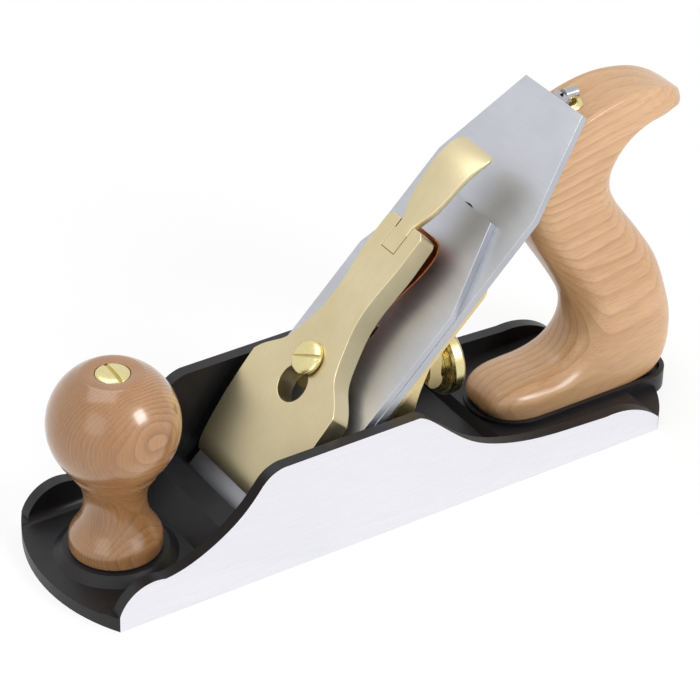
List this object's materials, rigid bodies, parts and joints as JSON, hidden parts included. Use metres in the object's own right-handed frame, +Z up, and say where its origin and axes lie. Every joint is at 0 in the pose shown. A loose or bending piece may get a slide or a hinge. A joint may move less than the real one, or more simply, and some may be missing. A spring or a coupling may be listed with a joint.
{
  "type": "hand plane",
  "caption": "Metal bench plane with a wooden knob and tote, a sloped blade and chipbreaker on a bronze frog, and a brass lever cap with a cam.",
  "frame": {"origin": "on the sole, under the middle of the straight body", "axes": "+X from toe to heel, +Y across to the right cheek, +Z up from the sole"},
  "size_m": [0.275, 0.073, 0.1411],
  "materials": {
    "casting": "black japanned inside, ground bright on the sole and cheeks",
    "knob_wood": "polished cherry",
    "tote_wood": "satin cherry",
    "bronze": "satin, machined bed",
    "satin_brass": "fine brushed",
    "polished_brass": "polished",
    "spring_copper": "rolled phosphor bronze",
    "blade_steel": "satin ground",
    "steel": "turned"
  },
  "bodies": {
    "body": {"body_casting": "casting", "knob": "knob_wood", "knob_stud": "steel", "knob_nut": "polished_brass", "tote": "tote_wood", "tote_stud": "steel", "tote_nut": "polished_brass"},
    "left_pin_screw_body": {"left_pin_screw": "steel"},
    "right_pin_screw_body": {"right_pin_screw": "steel"},
    "frog_unit": {"frog": "bronze", "frog_pins": "steel", "frog_adjusting_plate": "steel", "plate_screw": "steel", "depth_stud": "steel", "yoke_pin": "steel", "lateral_pin": "steel"},
    "adjusting_screw_body": {"frog_adjusting_screw": "steel"},
    "depth_wheel": {"depth_nut": "polished_brass"},
    "yoke_body": {"yoke": "bronze"},
    "lateral_lever_body": {"lateral_lever": "steel"},
    "roller_body": {"lateral_roller": "steel"},
    "blade_set": {"blade": "blade_steel", "chipbreaker": "blade_steel", "chipbreaker_screw": "steel"},
    "cap_unit": {"lever_cap": "satin_brass", "cam_pin": "steel", "cap_spring": "spring_copper", "spring_rivet": "spring_copper"},
    "cam_lever_body": {"cam_lever": "satin_brass"},
    "cap_screw_body": {"cap_screw": "polished_brass"}
  },
  "joints": [
    {"name": "frog_slide", "type": "slide", "parent": "body", "child": "frog_unit", "axis": [0.9848, 0, 0.1736], "range_m": [-0.0012, 0.0005]},
    {"name": "adjusting_screw_spin", "type": "hinge", "parent": "frog_unit", "child": "adjusting_screw_body", "pos_m": [0.01508, 0, 0.01149], "axis": [0.9848, 0, 0.1736], "range_deg": [-450, 190]},
    {"name": "left_pin_screw_spin", "type": "hinge", "parent": "body", "child": "left_pin_screw_body", "pos_m": [0.01508, -0.015, 0.01149], "axis": [0.9848, 0, 0.1736], "range_deg": [-180, 180]},
    {"name": "right_pin_screw_spin", "type": "hinge", "parent": "body", "child": "right_pin_screw_body", "pos_m": [0.01508, 0.015, 0.01149], "axis": [0.9848, 0, 0.1736], "range_deg": [-180, 180]},
    {"name": "blade_tilt", "type": "hinge", "parent": "frog_unit", "child": "roller_body", "pos_m": [-0.04091, 0, 0.01443], "axis": [-0.7071, 0, 0.7071], "range_deg": [-1, 1]},
    {"name": "lateral_lever_swing", "type": "hinge", "parent": "frog_unit", "child": "lateral_lever_body", "pos_m": [0.02867, 0, 0.08061], "axis": [-0.7071, 0, 0.7071], "range_deg": [-7.1, 7.1]},
    {"name": "blade_depth", "type": "slide", "parent": "roller_body", "child": "blade_set", "axis": [0.7071, 0, 0.7071], "range_m": [-0.001, 0.001]},
    {"name": "depth_wheel_spin", "type": "hinge", "parent": "frog_unit", "child": "depth_wheel", "pos_m": [0.0365, 0, 0.0405], "axis": [1, 0, 0], "range_deg": [-725, 725]},
    {"name": "yoke_tilt", "type": "hinge", "parent": "frog_unit", "child": "yoke_body", "pos_m": [0.01212, 0, 0.05699], "axis": [0, 1, 0], "range_deg": [-5.6, 5.6]},
    {"name": "lever_cap_slide", "type": "slide", "parent": "frog_unit", "child": "cap_unit", "axis": [0.7071, 0, 0.7071], "range_m": [0, 0.0105]},
    {"name": "cam_lever_lift", "type": "hinge", "parent": "cap_unit", "child": "cam_lever_body", "pos_m": [0.01721, 0, 0.09631], "axis": [0, -1, 0], "range_deg": [0, 75]},
    {"name": "cap_screw_spin", "type": "hinge", "parent": "frog_unit", "child": "cap_screw_body", "pos_m": [-0.02033, 0, 0.05848], "axis": [-0.7071, 0, 0.7071], "range_deg": [-180, 180]}
  ],
  "couplings": [
    {"joint": "adjusting_screw_spin", "follows": "frog_slide", "rad_per_m": 6283.2},
    {"joint": "lateral_lever_swing", "follows": "blade_tilt", "ratio": -7},
    {"joint": "depth_wheel_spin", "follows": "blade_depth", "rad_per_m": 12566},
    {"joint": "yoke_tilt", "follows": "blade_depth", "rad_per_m": 94.787}
  ]
}
